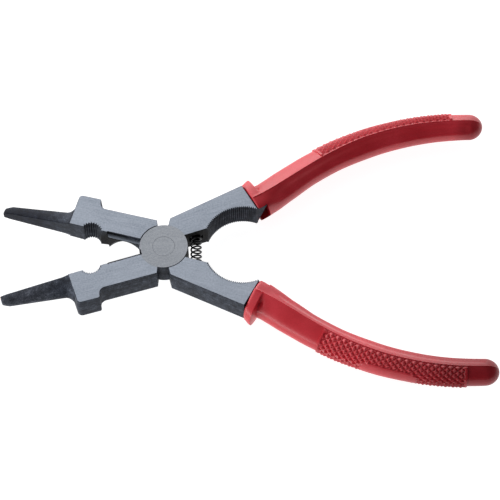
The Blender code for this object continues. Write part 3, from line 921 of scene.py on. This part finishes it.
def oxide_steel(name, side, nose_painted_factor):
    """Black-oxide forging skin: mottled blue-black with worn specks, painted shade by the spring and the
    cutter, and painted light and shade on the nose.
    """
    material, tree, shader = start_material(name, 0.1, 0.6)
    shader.inputs["Specular IOR Level"].default_value = 0.15
    place_vector = add_node(tree, "ShaderNodeTexCoord").outputs["Object"]
    scale_skin = noise(tree, place_vector, 420.0, 5.0, 0.65)
    grain = noise(tree, place_vector, 2200.0, 3.0, 0.7)
    lever_turn = side * math.radians(HALF_OPENING)
    drawn = noise(tree, stretched(tree, place_vector, (90, 90, 1400), lever_turn), 1.0)
    tone = blended(tree, ((scale_skin, 0.4), (grain, 0.4), (drawn, 0.2)))
    stops = (
        (0.36, (0.012, 0.014, 0.020)),
        (0.48, (0.032, 0.037, 0.048)),
        (0.56, (0.062, 0.072, 0.094)),
        (0.66, (0.15, 0.17, 0.21)),
    )
    skin = ramp(tree, tone, stops)
    # The nose is painted lighter on the front lever and darker on the back: painted highlight and painted
    # shade.
    along = add_node(tree, "ShaderNodeSeparateXYZ", {0: place_vector}).outputs[0]
    on_nose = remap(tree, along, 1.0, 0.0, NOSE_PAINTED_SPAN[0] * MM, NOSE_PAINTED_SPAN[1] * MM)
    nose_painted = mix_colour(tree, on_nose, (1.0, 1.0, 1.0, 1.0), (*nose_painted_factor, 1.0))
    skin = mix_colour(tree, 1.0, skin, nose_painted, "MULTIPLY")
    # Painted shade: near black round the spring's seat and in the cutter's hollow, where shade falls.
    seat = nearness(tree, place_vector, (SPRING_X, 0, THICKNESS / 2), *SEAT_SHADE_REACH)
    x, y, z = EDGE_AT_REST
    edge = nearness(tree, place_vector, (x, side * y, z), *EDGE_SHADE_REACH)
    painted_shade = math_node(tree, "MAXIMUM", seat, edge)
    skin = mix_colour(tree, painted_shade, skin, (0.004, 0.004, 0.005, 1.0))
    tree.links.new(skin, shader.inputs["Base Color"])
    tree.links.new(remap(tree, grain, 0.5, 0.72, 0.3, 0.7), shader.inputs["Roughness"])
    coarse = bump(tree, scale_skin, 0.00022, 0.45)
    tree.links.new(bump(tree, grain, 0.00006, 0.35, coarse), shader.inputs["Normal"])
    return material


def grip_vinyl():
    """Dipped red vinyl: satin, slightly cloudy, with a fine orange-peel skin and painted shade towards each
    grip's tip.
    """
    material, tree, shader = start_material("red_vinyl", 0.0, 0.4)
    shader.inputs["Coat Weight"].default_value = 0.2
    shader.inputs["Coat Roughness"].default_value = 0.2
    place_vector = add_node(tree, "ShaderNodeTexCoord").outputs["Object"]
    cloud = noise(tree, place_vector, 70.0, 4.0, 0.55)
    peel = noise(tree, place_vector, 1700.0, 3.0, 0.5)
    tone = blended(tree, ((cloud, 0.7), (peel, 0.3)))
    stops = ((0.3, (0.52, 0.012, 0.021)), (0.5, (0.62, 0.020, 0.033)), (0.7, (0.72, 0.032, 0.050)))
    unshaded = ramp(tree, tone, stops)
    # Painted shade at both grip tips, where they turn away from the light; it also dims the gloss there.
    dark = mix_colour(tree, 1.0, unshaded, (0.42, 0.4, 0.4, 1.0), "MULTIPLY")
    back = nearness(tree, place_vector, (TIP[0], -TIP[1], TIP[2]), *TIP_SHADE_BACK)
    tip_shade = math_node(tree, "MAXIMUM", back, nearness(tree, place_vector, TIP, *TIP_SHADE_FRONT))
    tree.links.new(mix_colour(tree, tip_shade, unshaded, dark), shader.inputs["Base Color"])
    tree.links.new(remap(tree, tip_shade, 0.5, 0.2), shader.inputs["Specular IOR Level"])
    tree.links.new(remap(tree, cloud, 0.35, 0.46, 0.3, 0.7), shader.inputs["Roughness"])
    tree.links.new(bump(tree, peel, 0.00004, 0.25), shader.inputs["Normal"])
    return material


def spring_wire():
    """Oil-blackened spring wire, with fine drawing marks."""
    material, tree, shader = start_material("blackened_wire", 0.8, 0.35)
    place_vector = add_node(tree, "ShaderNodeTexCoord").outputs["Object"]
    marks = noise(tree, place_vector, 3200.0, 3.0, 0.6)
    cloud = noise(tree, place_vector, 500.0, 2.0, 0.5)
    stops = ((0.3, (0.008, 0.008, 0.009)), (0.6, (0.022, 0.023, 0.026)), (0.8, (0.07, 0.07, 0.075)))
    tree.links.new(ramp(tree, cloud, stops), shader.inputs["Base Color"])
    tree.links.new(remap(tree, marks, 0.26, 0.46, 0.3, 0.7), shader.inputs["Roughness"])
    tree.links.new(bump(tree, marks, 0.00002, 0.3), shader.inputs["Normal"])
    return material


def pale_floor():
    """A matt pale sheet with a slight glow of its own, so that shadows on it stay faint."""
    material, tree, shader = start_material("pale_floor", 0.0, 0.9)
    place_vector = add_node(tree, "ShaderNodeTexCoord").outputs["Object"]
    cloud = noise(tree, place_vector, 6.0, 2.0, 0.4)
    stops = ((0.3, (0.64, 0.64, 0.64)), (0.7, (0.66, 0.66, 0.66)))
    pale = ramp(tree, cloud, stops)
    lit = mix_colour(tree, 1.0, pale, (0.55, 0.55, 0.55, 1.0), "MULTIPLY")
    tree.links.new(lit, shader.inputs["Base Color"])
    tree.links.new(pale, shader.inputs["Emission Color"])
    shader.inputs["Emission Strength"].default_value = 1.45
    return material


# ---------------------------------------------------------------- stage

def add_camera():
    elevation, azimuth = math.radians(CAMERA_ELEVATION), math.radians(CAMERA_AZIMUTH)
    roll = math.radians(CAMERA_ROLL)
    flat = math.cos(elevation)
    back = Vector((math.sin(azimuth) * flat, -math.cos(azimuth) * flat, math.sin(elevation)))
    level = Vector((math.cos(azimuth), math.sin(azimuth), 0))
    lifted = back.cross(level)
    right = level * math.cos(roll) + lifted * math.sin(roll)
    up = lifted * math.cos(roll) - level * math.sin(roll)
    data = bpy.data.cameras.new("camera")
    data.lens = CAMERA_LENS
    data.sensor_width = SENSOR
    data.clip_end = 20
    camera = bpy.data.objects.new("camera", data)
    bpy.context.scene.collection.objects.link(camera)
    camera.matrix_world = Matrix((right, up, back)).transposed().to_4x4()
    camera.location = Vector(CAMERA_AIM) + back * CAMERA_DISTANCE
    bpy.context.scene.camera = camera


def add_floor():
    low = cad_box[0].z
    half = 3.0
    bm = bmesh.new()
    corners = [(-half, -half, low), (half, -half, low), (half, half, low), (-half, half, low)]
    bm.faces.new([bm.verts.new(corner) for corner in corners])
    floor = make_object("floor", bm)
    floor.data.materials.append(pale_floor())


def add_area(name, where, size, power, aim=(0.03, 0.0, 0.0)):
    data = bpy.data.lights.new(name, "AREA")
    data.shape = "RECTANGLE"
    data.size, data.size_y = size
    data.energy = power
    light = bpy.data.objects.new(name, data)
    bpy.context.scene.collection.objects.link(light)
    light.location = where
    light.rotation_euler = (Vector(where) - Vector(aim)).to_track_quat("Z", "Y").to_euler()


def add_light():
    """A dome brightest behind and to the left, a soft box behind, and a low one to the left."""
    world = bpy.data.worlds.new("studio")
    world.use_nodes = True
    bpy.context.scene.world = world
    tree = world.node_tree
    direction = add_node(tree, "ShaderNodeTexCoord").outputs["Generated"]
    bright_side = Vector((-0.45, 0.85, -0.25)).normalized()
    facing = add_node(tree, "ShaderNodeVectorMath", {0: direction, 1: bright_side}, operation="DOT_PRODUCT")
    share = remap(tree, facing.outputs["Value"], 0.0, 1.0, -1.0, 1.0)
    stops = (
        (0.0, (0.02, 0.02, 0.022)),
        (0.4, (0.08, 0.08, 0.085)),
        (0.6, (0.3, 0.305, 0.32)),
        (0.75, (0.7, 0.7, 0.72)),
        (0.92, (1.0, 1.0, 1.0)),
    )
    background = tree.nodes["Background"]
    tree.links.new(ramp(tree, share, stops), background.inputs["Color"])
    background.inputs["Strength"].default_value = 2.4
    add_area("back_box", (-0.35, 1.1, 0.45), (1.6, 0.5), 3.6)
    add_area("left_box", (-1.0, -0.45, 0.12), (1.2, 0.3), 6.0)


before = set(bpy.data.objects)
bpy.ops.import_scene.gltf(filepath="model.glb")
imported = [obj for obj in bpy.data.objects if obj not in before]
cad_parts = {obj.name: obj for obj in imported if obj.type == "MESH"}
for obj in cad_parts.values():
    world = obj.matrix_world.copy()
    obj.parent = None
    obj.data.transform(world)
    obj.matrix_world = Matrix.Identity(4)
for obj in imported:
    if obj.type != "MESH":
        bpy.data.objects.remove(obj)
cad_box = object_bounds()
bpy.context.scene.view_settings.view_transform = "Standard"
add_camera()
add_floor()
add_light()
lever_angle = math.radians(HALF_OPENING)
build_lever(
    "lever_front", "front_lever", "front_half", False,
    (oxide_steel("oxide_front", -1, NOSE_PAINTED_LIGHT), ground_steel("ground_front", -lever_angle)),
)
build_lever(
    "lever_back", "back_lever", "back_half", True,
    (oxide_steel("oxide_back", 1, NOSE_PAINTED_SHADE), ground_steel("ground_back", lever_angle)),
)
vinyl = grip_vinyl()
build_grip("grip_front", "front_grip", "front_half", False, vinyl)
build_grip("grip_back", "back_grip", "back_half", True, vinyl)
build_rivet(ground_steel("ground_rivet", 0.0))
build_spring(spring_wire())
